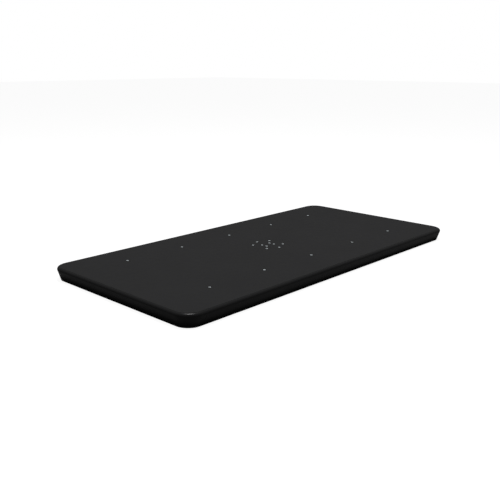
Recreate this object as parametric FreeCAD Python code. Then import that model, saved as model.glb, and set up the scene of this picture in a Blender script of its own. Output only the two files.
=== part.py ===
"""Fitted cover for a rectangular frame pool, in the shape it takes on the pool's rim.

A flat top sheet with punched, eyeleted drain holes is welded to a skirt of four side strips and four
corner gussets. The strips roll over a rounded shoulder, then slope inwards to the hem. A rope sleeve is
welded inside the hem, and a draw rope runs all the way round in it. Both ends of the rope leave the
sleeve through a window in the middle of the rear side, pass through a spring-loaded rope lock and end
in one moulded cap.

Millimetres. +X runs along the cover, +Y to the rear, +Z up. The origin is the middle of the floor
plane that the hem stands on. Sections are drawn in (u, z): u is 0 at the widest line of the cover and
negative towards the middle.
"""

import FreeCAD
import Part
import math
import os
from FreeCAD import Vector

# cover
length = 3960.0  # over the shoulders
width = 1850.0  # over the shoulders
height = 125.0  # floor to the top of the sheet
corner_radius = 155.0  # in plan, at the widest line
shoulder_radius = 23.0  # outside of the rolled edge
skirt_angle = math.radians(17.0)  # how far the skirt leans in from upright
sheet_thickness = 1.0
weld_gap = 0.2  # between two layers that are welded together
lap_width = 25.0  # skirt under the top sheet

# seams between the strips and the gussets
butt_gap = 0.3
tape_width = 32.0

# rope and its sleeve
rope_diameter = 5.0
sleeve_bore = 11.0
sleeve_flange = 22.0  # weld flange above the sleeve's tube
sleeve_lift = 0.3  # tube above the floor, so that the skirt's edge stands on it
rope_seat_gap = 0.3  # between the rope and the bottom of the tube that it lies in
window_width = 130.0  # gap in the rear sleeve, where the rope comes out

# drain holes
eyelet_bore = 10.0
eyelet_flange = 20.5
eyelet_wall = 1.2
eyelet_cap = 1.4  # height of the flange above the sheet
washer_thickness = 1.4
clinch_width = 1.6
clinch_thickness = 1.0
fit_gap = 0.2
row_count = 5
row_pitch = 690.0
row_offset = 550.0  # each row from the cover's centre line
cluster_inner = (57.0, 30.0)  # four holes round the middle
cluster_outer = (126.0, 92.0)  # four more round those
cluster_end = 150.0  # and one to the front and one to the rear

# rope lock
rope_pitch = 8.0  # between the two ropes in the lock
lock_wall_x = 3.0
lock_wall_y = 2.0
lock_floor = 2.0
lock_depth = 9.0  # of the plunger, along the rope
lock_side = 3.0  # plunger beside the ropes' slot
plunger_gap = 0.3
plunger_travel = 3.0
rope_gap = 0.2
lip_thickness = 2.0  # plunger below its slot
slot_margin = 0.5
button_height = 5.0
button_overhang = 1.5
spring_wire = 0.4
spring_radius = 2.8
spring_height = 5.6
spring_turns = 4
spring_seat_gap = 0.15
lock_inset = 62.0  # lock's middle from the sleeve's centre line
lock_edge = 2.0  # rounding of the lock's upright edges

# cap on the rope's two ends
end_cap_thickness = 8.0
end_cap_margin = 2.0  # beside each rope
end_cap_length = 15.0
end_cap_depth = 9.0  # rope inside the cap
end_cap_gap = 4.0  # between the cap and the lock
end_cap_rounding = 2.4

# worked out from the above
half_x = length / 2 - corner_radius
half_y = width / 2 - corner_radius
sheet_under = height - sheet_thickness
skirt_top = sheet_under - weld_gap
shoulder_z = skirt_top - shoulder_radius
rope_radius = rope_diameter / 2
tube_radius = sleeve_bore / 2 + sheet_thickness
along = Vector(math.sin(skirt_angle), 0, math.cos(skirt_angle))  # up the skirt's inner face
inward = Vector(-math.cos(skirt_angle), 0, math.sin(skirt_angle))  # off the skirt's inner face


def skirt_point(radius):
    """Where an arc of this radius about the shoulder's centre runs into the skirt's slope."""
    centre = Vector(-shoulder_radius, 0, shoulder_z)
    return centre + Vector(radius * math.cos(skirt_angle), 0, -radius * math.sin(skirt_angle))


def on_floor(point):
    """The slope through a point, followed down to the floor."""
    return point - along * (point.z / along.z)


outer_foot = on_floor(skirt_point(shoulder_radius))
inner_foot = on_floor(skirt_point(shoulder_radius - sheet_thickness))
tube_offset = weld_gap + tube_radius
tube_rise = (tube_radius + sleeve_lift - tube_offset * inward.z) / along.z
tube_centre = inner_foot + along * tube_rise + inward * tube_offset
flange_top = tube_rise + tube_radius + sleeve_flange
inner_slope = (skirt_point(shoulder_radius - sheet_thickness) - inner_foot).Length


def line(a, b):
    return Part.LineSegment(a, b).toShape()


def arc(a, middle, b):
    return Part.Arc(a, middle, b).toShape()


def circle_point(centre, radius, degrees):
    """A point of a circle in the section plane, 0 degrees outwards and 90 up."""
    turn = math.radians(degrees)
    return centre + Vector(radius * math.cos(turn), 0, radius * math.sin(turn))


def skirt_section():
    """Lap, rolled shoulder and sloping skirt, one sheet thick."""
    centre = Vector(-shoulder_radius, 0, shoulder_z)
    inside = shoulder_radius - sheet_thickness
    lap = -shoulder_radius - lap_width
    top = circle_point(centre, shoulder_radius, 90)
    under = circle_point(centre, inside, 90)
    edges = [
        line(Vector(lap, 0, skirt_top), top),
        arc(top, circle_point(centre, shoulder_radius, 35), skirt_point(shoulder_radius)),
        line(skirt_point(shoulder_radius), outer_foot),
        line(outer_foot, inner_foot),
        line(inner_foot, skirt_point(inside)),
        arc(skirt_point(inside), circle_point(centre, inside, 35), under),
        line(under, Vector(lap, 0, under.z)),
        line(Vector(lap, 0, under.z), Vector(lap, 0, skirt_top)),
    ]
    return Part.Face(Part.Wire(edges))


def sleeve_section():
    """Tube for the rope, with the flange that is welded to the inside of the skirt."""
    touch = tube_centre - inward * tube_radius
    flange_end = touch + along * (tube_radius + sleeve_flange)
    drop = tube_radius - sheet_thickness
    reach = math.sqrt(tube_radius**2 - drop**2)
    fork = tube_centre - inward * drop + along * reach
    far_side = tube_centre + (inward - along).normalize() * tube_radius
    outer = Part.Wire([
        line(touch, flange_end),
        line(flange_end, flange_end + inward * sheet_thickness),
        line(flange_end + inward * sheet_thickness, fork),
        arc(fork, far_side, touch),
    ])
    bore = Part.Wire([Part.Circle(tube_centre, Vector(0, 1, 0), sleeve_bore / 2).toShape()])
    return Part.makeFace([outer, bore], "Part::FaceMakerBullseye")


def tape_section():
    """Strip that backs a seam, from the sleeve's flange to the shoulder."""
    low = inner_foot + along * (flange_top + weld_gap) + inward * weld_gap
    high = inner_foot + along * inner_slope + inward * weld_gap
    corners = [low, high, high + inward * sheet_thickness, low + inward * sheet_thickness, low]
    return Part.Face(Part.makePolygon(corners))


def placed(shape, side):
    """Turns a shape drawn for the right side (0) to the rear (1), left (2) or front (3)."""
    shape.rotate(Vector(0, 0, 0), Vector(0, 0, 1), 90 * side)
    return shape


def at_radius(section):
    """A section moved out so that the corner's upright axis is at x = 0."""
    moved = section.copy()
    moved.translate(Vector(corner_radius, 0, 0))
    return moved


def half_span(side):
    """Half the straight stretch of a side."""
    return half_x if side % 2 else half_y


def reach_out(side):
    """Corner axes' distance from the middle, across a side."""
    return half_y if side % 2 else half_x


def straight(section, side, start=None, end=None):
    """A section run straight along a side, between two places along it."""
    start = -half_span(side) + butt_gap if start is None else start
    end = half_span(side) - butt_gap if end is None else end
    solid = at_radius(section).extrude(Vector(0, end - start, 0))
    solid.translate(Vector(reach_out(side), start, 0))
    return placed(solid, side)


def round_corner(section, side, first=0.0, sweep=90.0):
    """A section turned round the corner that follows a side, going round to the left."""
    flat = at_radius(section)
    flat.rotate(Vector(0, 0, 0), Vector(0, 0, 1), first)
    solid = flat.revolve(Vector(0, 0, 0), Vector(0, 0, 1), sweep)
    solid.translate(Vector(reach_out(side), half_span(side), 0))
    return placed(solid, side)


def rounded_plate(x, y, radius, low, high):
    """A flat plate with rounded corners, by its half sizes."""
    plate = Part.makeBox(2 * x, 2 * y, high - low, Vector(-x, -y, low))
    upright = [e for e in plate.Edges if abs(e.Vertexes[0].Z - e.Vertexes[1].Z) > 1e-6]
    return plate.makeFillet(radius, upright)


def tube(outer, inner, low, high):
    """A ring about the Z axis."""
    height_of = high - low
    body = Part.makeCylinder(outer, height_of, Vector(0, 0, low))
    return body.cut(Part.makeCylinder(inner, height_of + 2, Vector(0, 0, low - 1)))


def four_places(x, y):
    return [Vector(side * x, end * y, 0) for side in (-1, 1) for end in (-1, 1)]


def cluster_places():
    ends = [Vector(0, end * cluster_end, 0) for end in (-1, 1)]
    return four_places(*cluster_inner) + four_places(*cluster_outer) + ends


def row_places(y):
    return [Vector((i - (row_count - 1) / 2) * row_pitch, y, 0) for i in range(row_count)]


drain_groups = {
    "centre": cluster_places(),
    "front": row_places(-row_offset),
    "rear": row_places(row_offset),
}


def top_sheet():
    x = length / 2 - shoulder_radius
    y = width / 2 - shoulder_radius
    sheet = rounded_plate(x, y, corner_radius - shoulder_radius, sheet_under, height)
    hole_radius = eyelet_bore / 2 + eyelet_wall + fit_gap
    places = [p for group in drain_groups.values() for p in group]
    punches = [
        Part.makeCylinder(hole_radius, sheet_thickness + 2, p + Vector(0, 0, sheet_under - 1))
        for p in places
    ]
    return sheet.cut(Part.makeCompound(punches))


washer_top = sheet_under - fit_gap / 2
washer_under = washer_top - washer_thickness
clinch_top = washer_under - fit_gap / 2


def eyelet():
    """Domed flange above the sheet, barrel through it and lip clinched under the washer."""
    bore = eyelet_bore / 2
    barrel = bore + eyelet_wall
    flange_under = height + fit_gap / 2
    flange = tube(eyelet_flange / 2, bore, flange_under, flange_under + eyelet_cap)
    rim = [e for e in flange.Edges if abs(e.BoundBox.ZMin - flange_under - eyelet_cap) < 1e-6]
    flange = flange.makeFillet(eyelet_cap * 0.6, rim)
    body = tube(barrel, bore, clinch_top - clinch_thickness, flange_under + eyelet_cap / 2)
    lip = tube(barrel + clinch_width, bore, clinch_top - clinch_thickness, clinch_top)
    return flange.fuse([body, lip]).removeSplitter()


def washer():
    bore = eyelet_bore / 2 + eyelet_wall + fit_gap
    ring = tube(eyelet_flange / 2, bore, washer_under, washer_top)
    under = [e for e in ring.Edges if e.BoundBox.ZMax < washer_under + 1e-6]
    rim = max(under, key=lambda e: e.Length)
    return ring.makeFillet(washer_thickness / 3, [rim])


def repeated(shape, places):
    """Separate copies of one shape, as one node."""
    copies = []
    for place in places:
        copy = shape.copy()
        copy.translate(place)
        copies.append(copy)
    return Part.makeCompound(copies)


# rope lock, its middle and its levels
sleeve_y = half_y + corner_radius + tube_centre.x
lock_y = sleeve_y - lock_inset
slot_half = rope_pitch / 2 + rope_radius + slot_margin
plunger_x = slot_half + lock_side
plunger_y = lock_depth / 2
cavity_x = plunger_x + plunger_gap
cavity_y = plunger_y + plunger_gap
body_x = cavity_x + lock_wall_x
body_y = cavity_y + lock_wall_y
plunger_low = lock_floor + spring_height + 2 * spring_seat_gap
slot_low = plunger_low + lip_thickness
lock_rope_z = slot_low + rope_gap + rope_radius
slot_high = lock_rope_z + rope_radius + rope_gap + plunger_travel
lock_top = slot_high + lock_wall_y
button_low = lock_top + plunger_travel + plunger_gap
cap_mouth = lock_y - body_y - end_cap_gap
rope_z = tube_centre.z - sleeve_bore / 2 + rope_radius + rope_seat_gap


def rope_slot(low, high, reach):
    """An opening along Y for the two ropes, rounded at its ends."""
    radius = min(slot_half, (high - low) / 2) * 0.95
    block = Part.makeBox(2 * slot_half, 2 * reach, high - low, Vector(-slot_half, -reach, low))
    ends = [e for e in block.Edges if abs(e.Vertexes[0].Y - e.Vertexes[1].Y) > 1e-6]
    return block.makeFillet(radius * 0.5, ends)


def lock_body():
    """Cup that holds the spring and the plunger, open at the top, with the ropes' slot across it."""
    cup = rounded_plate(body_x, body_y, lock_edge, 0, lock_top)
    cavity = Part.makeBox(
        2 * cavity_x, 2 * cavity_y, lock_top, Vector(-cavity_x, -cavity_y, lock_floor)
    )
    low = lock_rope_z - rope_radius - slot_margin
    high = lock_rope_z + rope_radius + slot_margin
    cup = cup.cut([cavity, rope_slot(low, high, body_y + 1)])
    cup.translate(Vector(0, lock_y, 0))
    return cup


def lock_plunger():
    """Block that slides in the cup and grips the ropes from below, with the button on top."""
    block = Part.makeBox(
        2 * plunger_x,
        2 * plunger_y,
        button_low + 1 - plunger_low,
        Vector(-plunger_x, -plunger_y, plunger_low),
    )
    block = block.cut(rope_slot(slot_low, slot_high, plunger_y + 1))
    cap_x = plunger_x + button_overhang
    cap_y = plunger_y + button_overhang
    cap = rounded_plate(cap_x, cap_y, lock_edge, button_low, button_low + button_height)
    rim = [e for e in cap.Edges if e.BoundBox.ZMin > button_low + button_height - 1e-6]
    cap = cap.makeFillet(1.0, rim)
    plunger = block.fuse(cap).removeSplitter()
    plunger.translate(Vector(0, lock_y, 0))
    return plunger


def lock_spring():
    """Compression spring under the plunger, its coil made of quarter-turn arcs."""
    low = lock_floor + spring_seat_gap + spring_wire / 2
    rise = spring_height - spring_wire
    quarters = 4 * spring_turns

    def on_coil(quarter):
        turn = math.pi / 2 * quarter
        level = rise * quarter / quarters
        return Vector(spring_radius * math.cos(turn), spring_radius * math.sin(turn), level)

    coil = [arc(on_coil(k), on_coil(k + 0.5), on_coil(k + 1)) for k in range(quarters)]
    heading = coil[0].tangentAt(coil[0].FirstParameter)
    circle = Part.Circle(on_coil(0), heading, spring_wire / 2)
    spring = Part.Wire(coil).makePipeShell([Part.Wire([circle.toShape()])], True, False)
    spring.translate(Vector(0, lock_y, low))
    return spring


def rope_route(side):
    """The rope's points from its end to the middle of the front, on the left (-1) or right (1).

    Each has its bend's radius, or None where the bend is as large as its two runs allow."""
    axis_x = half_x + corner_radius + tube_centre.x
    bend = corner_radius + tube_centre.x
    x = side * rope_pitch / 2
    return [
        (Vector(x, cap_mouth - end_cap_depth, lock_rope_z), None),
        (Vector(x, lock_y + body_y + 16, lock_rope_z), None),
        (Vector(side * 13, sleeve_y - 13, lock_rope_z - 3), None),
        (Vector(side * 42, sleeve_y, rope_z), None),
        (Vector(side * axis_x, sleeve_y, rope_z), bend),
        (Vector(side * axis_x, -sleeve_y, rope_z), bend),
    ]


def rope_path(route):
    """Straight runs joined by tangent arcs. Returns the wire and the arcs' radii."""
    edges = []
    radii = []
    start = route[0][0]
    for (before, _), (corner, bend), (after, _) in zip(route, route[1:], route[2:]):
        back = before - corner
        ahead = after - corner
        half_turn = (math.pi - back.getAngle(ahead)) / 2
        largest = 0.45 * min(back.Length, ahead.Length) / math.tan(half_turn)
        radius = largest if bend is None else bend
        cut = radius * math.tan(half_turn)
        first = corner + back.normalize() * cut
        last = corner + ahead.normalize() * cut
        towards_centre = (back + ahead).normalize()
        middle = corner + towards_centre * (radius / math.cos(half_turn) - radius)
        edges.append(line(start, first))
        edges.append(arc(first, middle, last))
        radii.append(radius)
        start = last
    edges.append(line(start, route[-1][0]))
    return Part.Wire(edges), radii


def draw_rope():
    """One rope, from its left end round the cover to its right end."""
    left = rope_route(-1)
    right = rope_route(1)
    path, radii = rope_path(left + right[::-1])
    heading = left[1][0] - left[0][0]
    section = Part.Wire([Part.Circle(left[0][0], heading, rope_radius).toShape()])
    rope = path.makePipeShell([section], True, False)
    print("rope length", round(path.Length, 1), "radii", [round(r, 1) for r in radii])
    print("rope volume share", round(rope.Volume / (path.Length * math.pi * rope_radius**2), 4))
    return rope


def end_cap():
    """Moulded cap that joins the rope's two ends, with a blind bore for each."""
    x = rope_pitch / 2 + rope_radius + end_cap_margin
    low = Vector(-x, cap_mouth - end_cap_length, lock_rope_z - end_cap_thickness / 2)
    cap = Part.makeBox(2 * x, end_cap_length, end_cap_thickness, low)
    cap = cap.makeFillet(end_cap_rounding, cap.Edges)
    for side in (-1, 1):
        seat = Vector(side * rope_pitch / 2, cap_mouth - end_cap_depth - fit_gap, lock_rope_z)
        cap = cap.cut(Part.makeCylinder(rope_radius + fit_gap, end_cap_length, seat, Vector(0, 1, 0)))
    return cap


def seam_tapes():
    """A backing tape behind each seam: half on the strip and half round the gusset."""
    section = tape_section()
    half = tape_width / 2
    sweep = math.degrees(half / (corner_radius + inner_foot.x))
    tapes = []
    for side in range(4):
        span = half_span(side)
        ahead = straight(section, side, span - half, span)
        behind = straight(section, side, -span, -span + half)
        tapes.append(ahead.fuse(round_corner(section, side, 0, sweep)).removeSplitter())
        before = (side - 1) % 4
        tapes.append(behind.fuse(round_corner(section, before, 90 - sweep, sweep)).removeSplitter())
    return Part.makeCompound(tapes)


def build():
    parts = {"top_sheet": top_sheet()}
    skirt = skirt_section()
    sleeve = sleeve_section()
    sides = ("right", "rear", "left", "front")
    corners = ("rear_right", "rear_left", "front_left", "front_right")
    for side, name in enumerate(sides):
        parts[f"skirt_{name}"] = straight(skirt, side)
        if name != "rear":
            parts[f"rope_sleeve_{name}"] = straight(sleeve, side)
    # the rear side runs from right to left, and the window splits its sleeve
    rear_end = half_span(1) - butt_gap
    parts["rope_sleeve_rear_right"] = straight(sleeve, 1, -rear_end, -window_width / 2)
    parts["rope_sleeve_rear_left"] = straight(sleeve, 1, window_width / 2, rear_end)
    for side, name in enumerate(corners):
        parts[f"corner_gusset_{name}"] = round_corner(skirt, side)
        parts[f"corner_sleeve_{name}"] = round_corner(sleeve, side)
    parts["seam_tapes"] = seam_tapes()
    eyelet_shape = eyelet()
    washer_shape = washer()
    for name, places in drain_groups.items():
        parts[f"drain_eyelets_{name}"] = repeated(eyelet_shape, places)
        parts[f"drain_washers_{name}"] = repeated(washer_shape, places)
    parts["draw_rope"] = draw_rope()
    parts["rope_end_cap"] = end_cap()
    parts["rope_lock_body"] = lock_body()
    parts["rope_lock_plunger"] = lock_plunger()
    parts["rope_lock_spring"] = lock_spring()
    return parts


os.makedirs("parts", exist_ok=True)
for node, shape in build().items():
    if not shape.isValid() or not shape.Solids:
        print("not a valid solid:", node)
    shape.exportStep(f"parts/{node}.step")
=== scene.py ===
import math

import bpy
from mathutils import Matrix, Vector, noise


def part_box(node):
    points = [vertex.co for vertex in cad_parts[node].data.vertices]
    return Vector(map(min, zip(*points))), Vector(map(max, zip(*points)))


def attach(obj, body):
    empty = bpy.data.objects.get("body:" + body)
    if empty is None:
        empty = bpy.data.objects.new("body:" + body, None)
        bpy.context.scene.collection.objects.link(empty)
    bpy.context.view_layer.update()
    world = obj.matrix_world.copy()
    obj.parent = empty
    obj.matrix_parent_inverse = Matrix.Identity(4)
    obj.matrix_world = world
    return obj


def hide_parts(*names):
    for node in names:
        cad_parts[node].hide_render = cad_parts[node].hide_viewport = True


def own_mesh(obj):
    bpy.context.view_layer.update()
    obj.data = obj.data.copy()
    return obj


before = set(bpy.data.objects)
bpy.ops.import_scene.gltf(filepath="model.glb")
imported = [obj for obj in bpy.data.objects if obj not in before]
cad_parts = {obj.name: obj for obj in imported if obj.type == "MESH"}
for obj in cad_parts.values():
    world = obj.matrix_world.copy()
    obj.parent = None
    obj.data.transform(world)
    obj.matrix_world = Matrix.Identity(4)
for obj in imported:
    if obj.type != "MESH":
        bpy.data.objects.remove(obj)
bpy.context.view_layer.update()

print("frame loaded:", len(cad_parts), "nodes")


def selectNothing():
    if bpy.context.mode != "OBJECT":
        bpy.ops.object.mode_set(mode="OBJECT")
    bpy.ops.object.select_all(action="DESELECT")


def makeActive(piece):
    selectNothing()
    piece.select_set(True)
    bpy.context.view_layer.objects.active = piece


def editAll(piece):
    makeActive(piece)
    bpy.ops.object.mode_set(mode="EDIT")
    bpy.ops.mesh.select_all(action="SELECT")


def useModifier(piece, kind, **settings):
    makeActive(piece)
    modifier = piece.modifiers.new(kind.title(), kind)
    for key, value in settings.items():
        setattr(modifier, key, value)
    bpy.ops.object.modifier_apply(modifier=modifier.name)


def finishPlace(piece):
    makeActive(piece)
    bpy.ops.object.transform_apply(location=True, rotation=True, scale=True)


cameraView = {
    "place": (-5.127, -4.358, 1.925),
    "tilt": 74.514,  # degrees from straight down
    "turn": -44.79,
    "lens": 48.87,
    "shift": 0.075,
    "far": 200,
}


def setCamera():
    selectNothing()
    tilt, turn = math.radians(cameraView["tilt"]), math.radians(cameraView["turn"])
    bpy.ops.object.camera_add(location=cameraView["place"], rotation=(tilt, 0, turn))
    camera = bpy.context.active_object
    camera.name = "camera"
    camera.data.lens = cameraView["lens"]
    camera.data.shift_x = cameraView["shift"]
    camera.data.clip_end = cameraView["far"]
    bpy.context.scene.camera = camera


setCamera()

film = {
    "thickness": 0.001,
    "weldGap": 0.0002,
    "lapWidth": 0.025,
    "shoulderRadius": 0.023,
    "lean": math.radians(17),  # skirt from upright
    "hemEnd": 0.0004,  # middle layer's end above the floor
    "column": 0.03,  # length of one piece of mesh along a side
    "cornerSteps": 24,
    "lapSteps": 3,
    "rollSteps": 14,
    "slopeSteps": 9,
    "nearSeam": 0.00045,  # a strip's end this near its seam goes on to it
    "merge": 0.00001,
}
sleeve = {"tubeRadius": 0.0065, "flange": 0.022, "flangeSteps": 5, "rollSteps": 20}
tape = {"width": 0.032, "steps": 6, "turnSteps": 3}

cornerLow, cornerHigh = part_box("corner_gusset_rear_right")
cornerX, cornerY = cornerLow.x, cornerLow.y
cornerRadius = cornerHigh.x - cornerLow.x
skirtTop = cornerHigh.z
shoulderX = cornerRadius - film["shoulderRadius"]
shoulderZ = skirtTop - film["shoulderRadius"]
upSlope = Vector((math.sin(film["lean"]), 0, math.cos(film["lean"])))
intoCover = Vector((-math.cos(film["lean"]), 0, math.sin(film["lean"])))

rollRadius = film["shoulderRadius"] - film["thickness"] / 2
rolledOff = Vector((shoulderX, 0, shoulderZ)) - intoCover * rollRadius
sleeveRadius = sleeve["tubeRadius"] - film["thickness"] / 2
rollDegrees = 360 - math.degrees(math.acos(1 - film["thickness"] / sleeveRadius))


def slopePoint(z, depth=0.0):  # on the skirt's middle layer, or that far inside it
    start = rolledOff + intoCover * depth
    return start + upSlope * ((z - start.z) / upSlope.z)


ease = {
    "hem": 0.0016,  # how far the hem wanders in and out
    "calm": 4.5,  # scales of its slow and its quick wander
    "quick": 14,
    "quickShare": 0.3,
    "gather": 0.0012,  # pleats that the rope pulls into each corner
    "pleats": 11,  # in a corner
    "sheet": 0.0009,  # rise and fall of the top sheet
    "sway": 2.3,  # scales of its slow and its quick waves
    "ripple": 6,
    "rippleShare": 0.35,
    "eyelet": 0.016,  # quite flat as far as this from a drain hole's middle
    "clear": 0.06,  # and nearly flat that much further out
    "margin": 0.12,  # nearly flat beside the welded edge
}


def outwards(place):  # level direction away from the middle, as the skirt faces there
    heart = Vector((max(-cornerX, min(cornerX, place.x)), max(-cornerY, min(cornerY, place.y)), 0))
    away = Vector((place.x, place.y, 0)) - heart
    return away.normalized() if away.length > 1e-6 else Vector((0, 0, 0))


def drift(place, layer, scale):  # smooth noise over the plan, another pattern in each layer
    return noise.noise(Vector((place.x, place.y, layer)) * scale)


def easeSkirt(piece):
    for corner in piece.data.vertices:
        place = corner.co
        away = outwards(place)
        low = max(0.0, 1 - place.z / shoulderZ)
        fade = low * low * (3 - 2 * low)
        wander = (1 - ease["quickShare"]) * drift(place, 0, ease["calm"])
        wander += ease["quickShare"] * drift(place, 9, ease["quick"])
        turn = math.atan2(abs(away.y), abs(away.x)) / (math.pi / 2)
        rounded = math.sin(math.pi * turn) ** 2  # nothing on the straight sides
        pleat = math.sin(2 * math.pi * ease["pleats"] * turn) * rounded
        shift = ease["hem"] * wander - ease["gather"] * (0.5 + 0.5 * pleat) * rounded
        corner.co = place + away * shift * fade


# Each section is drawn point by point, then run along a side or turned round a corner.


def startLine(name, place):
    selectNothing()
    bpy.ops.mesh.primitive_plane_add(size=0.01, location=place)
    piece = bpy.context.active_object
    piece.name = name
    finishPlace(piece)
    editAll(piece)
    bpy.ops.mesh.merge(type="CENTER")
    return piece


def drawLine(start, end, steps):
    step = (end - start) / steps
    for _ in range(steps):
        bpy.ops.mesh.extrude_region_move(TRANSFORM_OT_translate={"value": step})


def drawArc(centre, degrees, steps):  # spin turns clockwise, so its axis points backwards
    bpy.ops.mesh.spin(steps=steps, angle=math.radians(degrees), center=centre, axis=(0, -1, 0))


def drawSkirt(name, y):  # lap, rolled shoulder and slope
    along = Vector((0, y, 0))
    level = skirtTop - film["thickness"] / 2
    lapEnd = Vector((shoulderX - film["lapWidth"], y, level))
    piece = startLine(name, lapEnd)
    drawLine(lapEnd, Vector((shoulderX, y, level)), film["lapSteps"])
    drawArc((shoulderX, y, shoulderZ), 90 + math.degrees(film["lean"]), film["rollSteps"])
    drawLine(rolledOff + along, slopePoint(film["hemEnd"]) + along, film["slopeSteps"])
    return piece


def drawSleeve(name, y):  # weld flange, then the film rolled round the rope
    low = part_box("rope_sleeve_right")[0]
    tube = sleeve["tubeRadius"]
    centre = Vector((low.x - cornerX + tube, y, low.z + tube))
    touch = centre - intoCover * sleeveRadius
    flangeEnd = touch + upSlope * (tube + sleeve["flange"])
    piece = startLine(name, flangeEnd)
    drawLine(flangeEnd, touch, sleeve["flangeSteps"])
    drawArc(centre, rollDegrees, sleeve["rollSteps"])
    return piece


def drawTape(name, y):
    low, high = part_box("seam_tapes")
    depth = film["thickness"] + film["weldGap"]
    foot = slopePoint(low.z + film["thickness"], depth) + Vector((0, y, 0))
    top = slopePoint(high.z - film["thickness"], depth) + Vector((0, y, 0))
    piece = startLine(name, foot)
    drawLine(foot, top, tape["steps"])
    return piece


def runAlong(length):  # the drawn line becomes a strip
    bpy.ops.mesh.select_all(action="SELECT")
    steps = max(1, round(length / film["column"]))
    for _ in range(steps):
        bpy.ops.mesh.extrude_region_move(TRANSFORM_OT_translate={"value": (0, length / steps, 0)})


def turnAbout(degrees, steps):  # round the corner's upright middle line
    bpy.ops.mesh.spin(steps=steps, angle=math.radians(degrees), center=(0, 0, 0), axis=(0, 0, -1))


def settle(piece, side, x, y):  # turned to its side or corner, eased, and thickened
    selectNothing()
    piece.rotation_euler.z = math.radians(90 * side)
    piece.location = (x, y, 0)
    finishPlace(piece)
    editAll(piece)
    bpy.ops.mesh.remove_doubles(threshold=film["merge"])
    bpy.ops.mesh.normals_make_consistent(inside=False)
    selectNothing()
    easeSkirt(piece)
    useModifier(piece, "SOLIDIFY", thickness=film["thickness"], offset=0)


sideNames = ("right", "rear", "left", "front")
cornerNames = ("rear_right", "rear_left", "front_left", "front_right")
sideReach = ((cornerX, 0), (0, cornerY), (-cornerX, 0), (0, -cornerY))
cornerPlace = ((cornerX, cornerY), (-cornerX, cornerY), (-cornerX, -cornerY), (cornerX, -cornerY))


def sideRun(node, side):  # a node's stretch along its side, counted anticlockwise
    low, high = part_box(node)
    return ((low.y, high.y), (-high.x, -low.x), (-high.y, -low.y), (low.x, high.x))[side]


def toSeam(place, side):  # a strip's end beside a gusset goes on to the seam itself
    seam = cornerX if side % 2 else cornerY
    return math.copysign(seam, place) if seam - abs(place) < film["nearSeam"] else place


def straightPiece(draw, name, node, side):
    start, end = (toSeam(place, side) for place in sideRun(node, side))
    piece = draw(name, start)
    runAlong(end - start)
    settle(piece, side, *sideReach[side])
    return piece, end - start


def cornerPiece(draw, name, side):
    piece = draw(name, 0)
    bpy.ops.mesh.select_all(action="SELECT")
    turnAbout(90, film["cornerSteps"])
    settle(piece, side, *cornerPlace[side])
    return piece


def camel(node):  # the piece's name from its node's
    first, *rest = node.split("_")
    return first + "".join(word.title() for word in rest)


pattern = {
    "straight": 0.9999,  # least level part along an axis for a straight side
    "level": 0.75,  # least rise of a level face's normal
}


def roundDistance(place, middle):  # metres of film round the cover, for a face with this middle
    away = outwards(middle)
    if max(abs(away.x), abs(away.y)) > pattern["straight"]:
        return place.x if abs(away.y) > abs(away.x) else place.y
    heart = Vector((math.copysign(cornerX, middle.x), math.copysign(cornerY, middle.y), 0))
    out = place - heart
    ahead = out.x * away.x + out.y * away.y
    beside = out.y * away.x - out.x * away.y
    return (math.atan2(away.y, away.x) + math.atan2(beside, ahead)) * cornerRadius


def layPattern(piece):
    layer = piece.data.uv_layers.new(name="weave")
    for face in piece.data.polygons:
        level = abs(face.normal.z) > pattern["level"]
        for loop in face.loop_indices:
            place = piece.data.vertices[piece.data.loops[loop].vertex_index].co
            if level:
                layer.data[loop].uv = (place.x, place.y)
            else:
                layer.data[loop].uv = (roundDistance(place, face.center), place.z / upSlope.z)


def smooth(piece, degrees=35):
    makeActive(piece)
    bpy.ops.object.shade_smooth_by_angle(angle=math.radians(degrees))


def coverPiece(piece, material, slot, *nodes):
    piece.data.materials.clear()
    piece.data.materials.append(material)
    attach(piece, "cover")
    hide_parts(*nodes)


def startMaterial(name, colour, roughness, specular=0.5, metallic=0.0):
    material = bpy.data.materials.new(name)
    material.use_nodes = True
    shader = material.node_tree.nodes["Principled BSDF"]
    shader.inputs["Base Color"].default_value = (*colour, 1)
    shader.inputs["Roughness"].default_value = roughness
    shader.inputs["Specular IOR Level"].default_value = specular
    shader.inputs["Metallic"].default_value = metallic
    material.diffuse_color = (*colour, 1)
    return material, material.node_tree, shader


def addNode(tree, kind, **sockets):
    node = tree.nodes.new("ShaderNode" + kind)
    for socket, value in sockets.items():
        node.inputs[socket].default_value = value
    return node


def noiseNode(tree, coords, scale, detail=2.0, roughness=0.5):
    node = addNode(tree, "TexNoise", Scale=scale, Detail=detail, Roughness=roughness)
    tree.links.new(coords, node.inputs["Vector"])
    return node.outputs["Fac"]


def mottle(tree, shader, value, dark, light):  # the colour drifts between two shades
    ramp = tree.nodes.new("ShaderNodeValToRGB")
    ramp.color_ramp.elements[0].position = 0.3
    ramp.color_ramp.elements[1].position = 0.7
    ramp.color_ramp.elements[0].color = (*dark, 1)
    ramp.color_ramp.elements[1].color = (*light, 1)
    tree.links.new(value, ramp.inputs["Fac"])
    tree.links.new(ramp.outputs["Color"], shader.inputs["Base Color"])


def spread(tree, value, low, high, socket):  # a 0 to 1 value stretched over a socket's range
    node = addNode(tree, "MapRange")
    node.inputs["To Min"].default_value = low
    node.inputs["To Max"].default_value = high
    tree.links.new(value, node.inputs["Value"])
    tree.links.new(node.outputs["Result"], socket)


def bump(tree, height, distance, strength=1.0, under=None):
    node = addNode(tree, "Bump", Strength=strength, Distance=distance)
    tree.links.new(height, node.inputs["Height"])
    if under is not None:
        tree.links.new(under, node.inputs["Normal"])
    return node.outputs["Normal"]


bandScale = 0.314159  # of a wave texture whose bands lie 1 m apart


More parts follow.
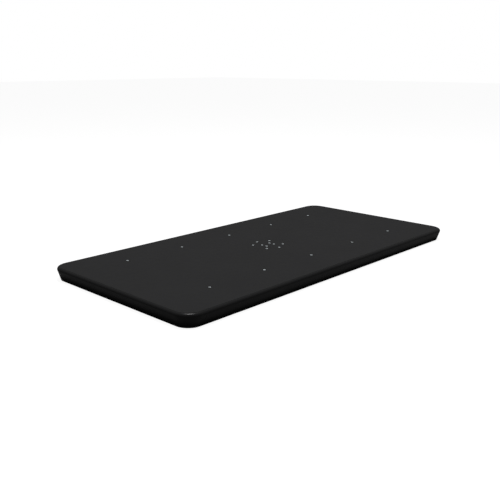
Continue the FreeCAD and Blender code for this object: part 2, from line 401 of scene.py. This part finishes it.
def waves(tree, coords, spacing, direction):
    node = addNode(tree, "TexWave", Scale=bandScale / spacing)
    node.bands_direction = direction
    tree.links.new(coords, node.inputs["Vector"])
    return node.outputs["Fac"]


def both(tree, first, second, operation="MULTIPLY"):
    node = tree.nodes.new("ShaderNodeMath")
    node.operation = operation
    tree.links.new(first, node.inputs[0])
    tree.links.new(second, node.inputs[1])
    return node.outputs["Value"]


filmLook = {
    "top": (0.0175, 0.0175, 0.0181),
    "skirt": (0.0172, 0.0172, 0.0177),
    "inside": (0.012, 0.012, 0.0124),
    "scrim": 0.0022,  # spacing of the threads inside the film
    "scrimHeight": 0.00004,
    "grainHeight": 0.00003,
    "slackHeight": 0.0012,
    "slackScale": 3.2,
    "grainScale": 1400,
    "fadeScale": 2.6,  # patches a little darker and lighter
    "rubScale": 17,  # patches a little glossier and duller
    "ridge": 0.004,  # spacing of the ridges that the welding bar leaves
    "ridgeHeight": 0.00006,
}


def shade(colour, share):
    return tuple(min(1, part * share) for part in colour)


def filmMaterial(name, colour, specular, roughness):
    material, tree, shader = startMaterial(name, colour, roughness, specular)
    weave = addNode(tree, "UVMap")
    weave.uv_map = "weave"
    spot = tree.nodes.new("ShaderNodeTexCoord").outputs["Object"]
    cloth = weave.outputs["UV"]
    faded = noiseNode(tree, spot, filmLook["fadeScale"], detail=4)
    mottle(tree, shader, faded, dark=shade(colour, 0.95), light=shade(colour, 1.05))
    rubbed = noiseNode(tree, spot, filmLook["rubScale"], detail=5)
    spread(tree, rubbed, roughness - 0.05, roughness + 0.07, shader.inputs["Roughness"])
    threads = both(
        tree,
        waves(tree, cloth, filmLook["scrim"], "X"),
        waves(tree, cloth, filmLook["scrim"], "Y"),
        "MAXIMUM",
    )
    slack = noiseNode(tree, spot, filmLook["slackScale"])
    grain = noiseNode(tree, spot, filmLook["grainScale"])
    normal = bump(tree, slack, filmLook["slackHeight"], strength=0.35)
    normal = bump(tree, grain, filmLook["grainHeight"], strength=0.5, under=normal)
    normal = bump(tree, threads, filmLook["scrimHeight"], strength=0.5, under=normal)
    weld = tree.nodes.new("ShaderNodeAttribute")
    weld.attribute_name = "weld"
    ridges = both(tree, waves(tree, cloth, filmLook["ridge"], "DIAGONAL"), weld.outputs["Fac"])
    normal = bump(tree, ridges, filmLook["ridgeHeight"], strength=0.5, under=normal)
    tree.links.new(normal, shader.inputs["Normal"])
    return material


def mouldedMaterial(name, colour, roughness):
    material, tree, shader = startMaterial(name, colour, roughness)
    spot = tree.nodes.new("ShaderNodeTexCoord").outputs["Object"]
    cloudy = noiseNode(tree, spot, scale=60, detail=3)
    mottle(tree, shader, cloudy, dark=shade(colour, 0.92), light=shade(colour, 1.06))
    worn = noiseNode(tree, spot, scale=220, detail=4)
    spread(tree, worn, roughness - 0.06, roughness + 0.1, shader.inputs["Roughness"])
    grain = noiseNode(tree, spot, scale=2600, detail=3, roughness=0.6)
    tree.links.new(bump(tree, grain, distance=0.00004, strength=0.6), shader.inputs["Normal"])
    return material


def wireMaterial(name):
    material, tree, shader = startMaterial(name, (0.6, 0.6, 0.61), roughness=0.3, metallic=1.0)
    spot = tree.nodes.new("ShaderNodeTexCoord").outputs["Object"]
    drawn = noiseNode(tree, spot, scale=1500, detail=4, roughness=0.7)
    spread(tree, drawn, 0.22, 0.42, shader.inputs["Roughness"])
    tree.links.new(bump(tree, drawn, distance=0.00001, strength=0.5), shader.inputs["Normal"])
    return material


def ropeMaterial(name, colour):
    material, tree, shader = startMaterial(name, colour, roughness=0.7, specular=0.3)
    yarn = addNode(tree, "UVMap")
    yarn.uv_map = "yarn"
    spot = tree.nodes.new("ShaderNodeTexCoord").outputs["Object"]
    fibres = waves(tree, yarn.outputs["UV"], spacing=0.0006, direction="DIAGONAL")
    fluff = noiseNode(tree, spot, scale=900, detail=3)
    mottle(tree, shader, fluff, dark=shade(colour, 0.7), light=shade(colour, 1.35))
    tree.links.new(bump(tree, fibres, distance=0.00008, strength=0.8), shader.inputs["Normal"])
    shader.inputs["Sheen Weight"].default_value = 0.3
    return material


topFilm = filmMaterial("topFilm", filmLook["top"], specular=0.2, roughness=0.44)
skirtFilm = filmMaterial("skirtFilm", filmLook["skirt"], specular=0.15, roughness=0.27)
insideFilm = filmMaterial("insideFilm", filmLook["inside"], specular=0.25, roughness=0.55)
eyeletPlastic = mouldedMaterial("eyeletPlastic", (0.7, 0.76, 0.78), roughness=0.42)
washerPlastic = mouldedMaterial("washerPlastic", (0.62, 0.67, 0.69), roughness=0.5)
lockPlastic = mouldedMaterial("lockPlastic", (0.022, 0.022, 0.024), roughness=0.48)
buttonPlastic = mouldedMaterial("buttonPlastic", (0.055, 0.056, 0.06), roughness=0.42)
springWire = wireMaterial("springWire")
ropeFibre = ropeMaterial("ropeFibre", (0.045, 0.045, 0.048))

cadFinish = {
    "drain_eyelets_centre": eyeletPlastic,
    "drain_eyelets_front": eyeletPlastic,
    "drain_eyelets_rear": eyeletPlastic,
    "drain_washers_centre": washerPlastic,
    "drain_washers_front": washerPlastic,
    "drain_washers_rear": washerPlastic,
    "rope_end_cap": lockPlastic,
    "rope_lock_body": lockPlastic,
    "rope_lock_plunger": buttonPlastic,
}

for node, material in cadFinish.items():
    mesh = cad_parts[node].data
    mesh.materials.clear()
    mesh.materials.append(material)
print("finishes made")


def markWeld(piece, low, high):  # the band where the sleeve's flange is welded behind the skirt
    weld = piece.data.attributes.new("weld", "FLOAT", "POINT")
    for corner in piece.data.vertices:
        weld.data[corner.index].value = 1.0 if low < corner.co.z < high else 0.0


def dressSheet(piece, material, slot, node):
    layPattern(piece)
    smooth(piece)
    coverPiece(piece, material, slot, node)


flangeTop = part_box("rope_sleeve_right")[1].z

for side, sideName in enumerate(sideNames):
    node = "skirt_" + sideName
    piece, run = straightPiece(drawSkirt, camel(node), node, side)
    markWeld(piece, sleeve["tubeRadius"], flangeTop)
    dressSheet(piece, skirtFilm, "skirt_sheet", node)
    for part in ("",) if sideName != "rear" else ("_right", "_left"):
        node = "rope_sleeve_" + sideName + part
        piece, run = straightPiece(drawSleeve, camel(node), node, side)
        dressSheet(piece, insideFilm, "weld_tape", node)

for side, cornerName in enumerate(cornerNames):
    node = "corner_gusset_" + cornerName
    piece = cornerPiece(drawSkirt, camel(node), side)
    markWeld(piece, sleeve["tubeRadius"], flangeTop)
    dressSheet(piece, skirtFilm, "skirt_sheet", node)
    node = "corner_sleeve_" + cornerName
    piece = cornerPiece(drawSleeve, camel(node), side)
    dressSheet(piece, insideFilm, "weld_tape", node)
print("skirt, gussets and sleeves made")


def makeTape(side, ahead):  # half on the strip, half round the gusset
    half = tape["width"] / 2
    sweep = math.degrees(half / slopePoint(0).x)
    piece = drawTape("tape", -half)
    bpy.ops.mesh.select_all(action="SELECT")
    bpy.ops.mesh.extrude_region_move(TRANSFORM_OT_translate={"value": (0, half, 0)})
    turnAbout(sweep, tape["turnSteps"])
    if not ahead:  # the same tape at the corner's other end
        editAll(piece)
        selectNothing()
        piece.scale.y = -1
        finishPlace(piece)
        piece.rotation_euler.z = math.radians(90)
        finishPlace(piece)
    settle(piece, side, *cornerPlace[side])
    return piece


tapes = [makeTape(side, ahead) for side in range(4) for ahead in (True, False)]
makeActive(tapes[0])
for piece in tapes:
    piece.select_set(True)
bpy.ops.object.join()
seamTapes = tapes[0]
seamTapes.name = "seamTapes"
dressSheet(seamTapes, insideFilm, "weld_tape", "seam_tapes")
print("seam tapes made")

topSheet = {
    "cell": 0.05,  # mesh of the sheet
    "holeRadius": 0.0064,
    "weldBand": 0.025,
    "weldMark": 0.02525,  # just past the weld's own edge
    "cornerRound": shoulderX,
    "cornerSteps": 14,
    "holeFacets": 32,
    "punch": 0.02,  # length of the tool that cuts a hole
    "clusterInner": (0.057, 0.03),  # four drain holes round the middle
    "clusterOuter": (0.126, 0.092),
    "clusterEnd": 0.15,
    "rowPitch": 0.69,
    "rowOffset": 0.55,
    "perRow": 5,
}


def holePlaces():
    holes = [(0, -topSheet["clusterEnd"]), (0, topSheet["clusterEnd"])]
    for x, y in (topSheet["clusterInner"], topSheet["clusterOuter"]):
        holes += [(x * side, y * end) for side in (-1, 1) for end in (-1, 1)]
    middle = (topSheet["perRow"] - 1) / 2
    for y in (-topSheet["rowOffset"], topSheet["rowOffset"]):
        holes += [((k - middle) * topSheet["rowPitch"], y) for k in range(topSheet["perRow"])]
    return [Vector((x, y, 0)) for x, y in holes]


drainHoles = holePlaces()


def cutAcross(piece, low, high, direction):
    count = round((high - low) / topSheet["cell"])
    for k in range(1, count):
        bpy.ops.mesh.select_all(action="SELECT")
        place = direction * (low + (high - low) * k / count)
        bpy.ops.mesh.bisect(plane_co=place, plane_no=direction)


def easeTop(piece, low, high):  # lies flat at its edge and round each hole
    weld = piece.data.attributes.new("weld", "FLOAT", "POINT")
    cornerRound = topSheet["cornerRound"]
    inner = Vector((high.x - cornerRound, high.y - cornerRound))
    for corner in piece.data.vertices:
        place = corner.co
        over = Vector((max(0, abs(place.x) - inner.x), max(0, abs(place.y) - inner.y)))
        edge = min(high.x - abs(place.x), high.y - abs(place.y))
        if over.x > 0 and over.y > 0:
            edge = cornerRound - over.length
        weld.data[corner.index].value = 1.0 if edge < topSheet["weldMark"] else 0.0
        nearest = min((Vector((place.x, place.y, 0)) - hole).length for hole in drainHoles)
        free = min(1, max(0, edge - topSheet["weldBand"]) / ease["margin"])
        free *= min(1, max(0, nearest - ease["eyelet"]) / ease["clear"])
        sway = drift(place, 4, ease["sway"])
        sway += ease["rippleShare"] * drift(place, 7, ease["ripple"])
        corner.co.z += ease["sheet"] * sway * free * free * (3 - 2 * free)


def makeTopSheet():
    low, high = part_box("top_sheet")
    cornerRound = topSheet["cornerRound"]
    selectNothing()
    bpy.ops.mesh.primitive_plane_add(size=1, location=(0, 0, (low.z + high.z) / 2))
    piece = bpy.context.active_object
    piece.name = "topSheet"
    piece.scale = (high.x - low.x, high.y - low.y, 1)
    finishPlace(piece)
    editAll(piece)
    steps = topSheet["cornerSteps"]
    bpy.ops.mesh.bevel(offset=cornerRound, segments=steps, affect="VERTICES", clamp_overlap=False)
    bpy.ops.mesh.select_all(action="SELECT")
    bpy.ops.mesh.inset(thickness=topSheet["weldBand"])
    cutAcross(piece, low.x, high.x, Vector((1, 0, 0)))
    cutAcross(piece, low.y, high.y, Vector((0, 1, 0)))
    selectNothing()
    useModifier(piece, "SOLIDIFY", thickness=film["thickness"], offset=0)
    punches = []
    for hole in drainHoles:
        selectNothing()
        bpy.ops.mesh.primitive_cylinder_add(
            vertices=topSheet["holeFacets"],
            radius=topSheet["holeRadius"],
            depth=topSheet["punch"],
            location=(hole.x, hole.y, high.z),
        )
        punches.append(bpy.context.active_object)
    makeActive(punches[0])
    for punch in punches:
        punch.select_set(True)
    bpy.ops.object.join()
    useModifier(piece, "BOOLEAN", operation="DIFFERENCE", object=punches[0], solver="EXACT")
    makeActive(punches[0])
    bpy.ops.object.delete()
    easeTop(piece, low, high)
    area = (high.x - low.x) * (high.y - low.y) - (4 - math.pi) * cornerRound**2
    area -= len(drainHoles) * math.pi * topSheet["holeRadius"] ** 2
    dressSheet(piece, topFilm, "top_sheet", "top_sheet")


makeTopSheet()
print("top sheet made")

rope = {
    "radius": 0.0025,
    "strandRadius": 0.0013,
    "strands": 3,
    "lay": 0.024,  # one turn of the strands
    "step": 0.004,  # between the strands' rings inside the sleeve
    "fineStep": 0.002,  # and where the rope shows
    "shown": 0.34,  # length from each end that shows
    "facets": 8,
    "apart": 0.004,  # each rope from the lock's middle
    "inSleeve": 0.0041,  # height where it lies in the sleeve
    "inLock": 0.0126,
    "inCap": 0.009,
    "behindLock": 0.016,
    "bend": 0.013,  # where it turns from the lock towards the sleeve
    "bendDrop": 0.003,
    "entry": 0.042,  # where it goes into the sleeve
    "cornerTurn": 30,  # degrees between the route's points in a corner
}


def ropeRoute():  # half of the route's points, from the cap to the middle of the front
    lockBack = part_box("rope_lock_body")[1].y
    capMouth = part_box("rope_end_cap")[1].y
    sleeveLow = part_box("rope_sleeve_right")[0]
    reach = sleeveLow.x + sleeve["tubeRadius"] - cornerX  # the sleeve's middle line in a corner
    sleeveY = cornerY + reach
    points = [
        (rope["apart"], capMouth - rope["inCap"], rope["inLock"]),
        (rope["apart"], lockBack + rope["behindLock"], rope["inLock"]),
        (rope["bend"], sleeveY - rope["bend"], rope["inLock"] - rope["bendDrop"]),
        (rope["entry"], sleeveY, rope["inSleeve"]),
    ]
    turn = math.radians(rope["cornerTurn"])
    straightOn = reach * math.tan(turn / 2)
    radius = reach / math.cos(turn / 2)
    for upDown in (1, -1):
        corner = [(-straightOn, reach)]
        for k in range(round(90 / rope["cornerTurn"])):
            angle = math.pi / 2 - turn * (k + 0.5)
            corner.append((radius * math.cos(angle), radius * math.sin(angle)))
        corner.append((reach, -straightOn))
        if upDown < 0:
            corner.reverse()
        points += [(cornerX + x, upDown * (cornerY + y), rope["inSleeve"]) for x, y in corner]
    return points


def readSpline(points):
    curve = bpy.data.curves.new("route", "CURVE")
    curve.dimensions = "3D"
    spline = curve.splines.new("NURBS")
    spline.points.add(len(points) - 1)
    for point, place in zip(spline.points, points):
        point.co = (*place, 1)
    spline.order_u = 3
    spline.use_endpoint_u = True
    spline.resolution_u = 16
    route = bpy.data.objects.new("route", curve)
    bpy.context.scene.collection.objects.link(route)
    mesh = bpy.data.meshes.new_from_object(route)
    line = [corner.co.copy() for corner in mesh.vertices]
    bpy.data.objects.remove(route)
    return line


def stepAlong(line):  # each place with its distance along the rope
    total = sum((end - start).length for start, end in zip(line, line[1:]))
    spots, gone, wanted = [], 0.0, 0.0
    for start, end in zip(line, line[1:]):
        length = (end - start).length
        while length > 1e-9 and wanted <= gone + length:
            spots.append((wanted, start.lerp(end, (wanted - gone) / length)))
            fine = min(wanted, total - wanted) < rope["shown"]
            wanted += rope["fineStep"] if fine else rope["step"]
        gone += length
    return spots


def strandRings(spots, strand):  # one strand's corners, a ring for each place
    offset = rope["radius"] - rope["strandRadius"]
    last = len(spots) - 1
    corners = []
    for k, (gone, place) in enumerate(spots):
        ahead = (spots[min(k + 1, last)][1] - spots[max(k - 1, 0)][1]).normalized()
        beside = ahead.cross(Vector((0, 0, 1))).normalized()
        above = beside.cross(ahead)
        turn = 2 * math.pi * (gone / rope["lay"] + strand / rope["strands"])
        middle = place + (beside * math.cos(turn) + above * math.sin(turn)) * offset
        for facet in range(rope["facets"]):
            angle = 2 * math.pi * facet / rope["facets"] + turn
            out = beside * math.cos(angle) + above * math.sin(angle)
            corners.append(middle + out * rope["strandRadius"])
    return corners


def makeRope():  # three strands laid together
    half = ropeRoute()
    other = [(-x, y, z) for x, y, z in half]
    spots = stepAlong(readSpline(half + other[::-1]))
    facets = rope["facets"]
    girth = 2 * math.pi * rope["strandRadius"] / facets
    corners, faces, yarn = [], [], []
    for strand in range(rope["strands"]):
        base = len(corners)
        corners += strandRings(spots, strand)
        for k, ((near, _), (far, _)) in enumerate(zip(spots, spots[1:])):
            for facet in range(facets):
                first = base + k * facets + facet
                second = base + k * facets + (facet + 1) % facets
                faces.append((first, first + facets, second + facets, second))
                low, high = facet * girth, (facet + 1) * girth
                yarn += [(near, low), (far, low), (far, high), (near, high)]
        for end in (base, len(corners) - facets):  # closes the strand
            faces.append([end + facet for facet in range(facets)])
            yarn += [(0, 0)] * facets
    mesh = bpy.data.meshes.new("drawRope")
    mesh.from_pydata(corners, [], faces)
    layer = mesh.uv_layers.new(name="yarn")
    for loop, mark in zip(layer.data, yarn):
        loop.uv = mark
    piece = bpy.data.objects.new("drawRope", mesh)
    bpy.context.scene.collection.objects.link(piece)
    editAll(piece)
    bpy.ops.mesh.normals_make_consistent(inside=False)
    smooth(piece, 75)
    coverPiece(piece, ropeFibre, "rope", "draw_rope")


makeRope()
print("rope made")

coil = {
    "wire": 0.0004,
    "turns": 4,
    "stepsPerTurn": 32,
    "facets": 12,  # round the wire
    "seatGap": 0.00015,  # between the coil's ends and their seats
}


def makeSpring(low, high):  # a coil between its box's corners
    selectNothing()
    bpy.ops.mesh.primitive_circle_add(
        vertices=coil["facets"],
        radius=coil["wire"] / 2,
        location=((high.x - low.x - coil["wire"]) / 2, 0, 0),
        rotation=(math.pi / 2, 0, 0),
    )
    piece = bpy.context.active_object
    piece.name = "lockSpring"
    finishPlace(piece)
    useModifier(
        piece,
        "SCREW",
        screw_offset=(high.z - low.z - coil["wire"]) / coil["turns"],
        iterations=coil["turns"],
        steps=coil["stepsPerTurn"],
        render_steps=coil["stepsPerTurn"],
    )
    editAll(piece)
    bpy.ops.mesh.fill_holes(sides=0)
    bpy.ops.mesh.normals_make_consistent(inside=False)
    selectNothing()
    piece.location = ((low.x + high.x) / 2, (low.y + high.y) / 2, low.z + coil["wire"] / 2)
    finishPlace(piece)
    return piece


springLow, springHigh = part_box("rope_lock_spring")
lockSpring = makeSpring(springLow, springHigh)
smooth(lockSpring)
coverPiece(lockSpring, springWire, "spring_steel", "rope_lock_spring")
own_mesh(lockSpring)
print("lock spring made")

studio = {
    "floorSize": 120,
    "floorDrop": 0.0005,  # under the hem
    "floorColour": (0.15, 0.15, 0.15),
    "floorGlow": 0.94,  # keeps the floor pale round a black object
    "keyHeight": 14,
    "keySize": 4,
    "keyPower": 1530,
    "air": 0.12,  # light from all round
}


def onlySeen(tree, colour, strength, kind):  # shows to the camera and lights nothing
    seen = tree.nodes.new("ShaderNodeLightPath").outputs["Is Camera Ray"]
    glow = addNode(tree, kind, Color=colour)
    spread(tree, seen, 0, strength, glow.inputs["Strength"])
    return glow.outputs[0]


def addUp(tree, first, second, end):
    total = tree.nodes.new("ShaderNodeAddShader")
    tree.links.new(first, total.inputs[0])
    tree.links.new(second, total.inputs[1])
    tree.links.new(total.outputs["Shader"], end.inputs["Surface"])


def makeFloor():
    selectNothing()
    bpy.ops.mesh.primitive_plane_add(size=studio["floorSize"], location=(0, 0, -studio["floorDrop"]))
    floor = bpy.context.active_object
    floor.name = "floor"
    material, tree, shader = startMaterial(
        "floorPaint", studio["floorColour"], roughness=0.9, specular=0.1
    )
    glow = onlySeen(tree, (1, 1, 1, 1), studio["floorGlow"], "Emission")
    addUp(tree, shader.outputs["BSDF"], glow, tree.nodes["Material Output"])
    floor.data.materials.append(material)


def makeLight():
    selectNothing()
    bpy.ops.object.light_add(type="AREA", location=(0, 0, studio["keyHeight"]))
    key = bpy.context.active_object
    key.name = "keyLight"
    key.data.shape = "DISK"
    key.data.size = studio["keySize"]
    key.data.energy = studio["keyPower"]
    world = bpy.data.worlds.new("studio")
    world.use_nodes = True
    bpy.context.scene.world = world
    tree = world.node_tree
    air = tree.nodes["Background"]
    air.inputs["Color"].default_value = (1, 1, 1, 1)
    air.inputs["Strength"].default_value = studio["air"]
    white = onlySeen(tree, (1, 1, 1, 1), 1 - studio["air"], "Background")
    addUp(tree, air.outputs["Background"], white, tree.nodes["World Output"])
    bpy.context.scene.view_settings.view_transform = "Standard"


makeFloor()
makeLight()

print("scene ready")
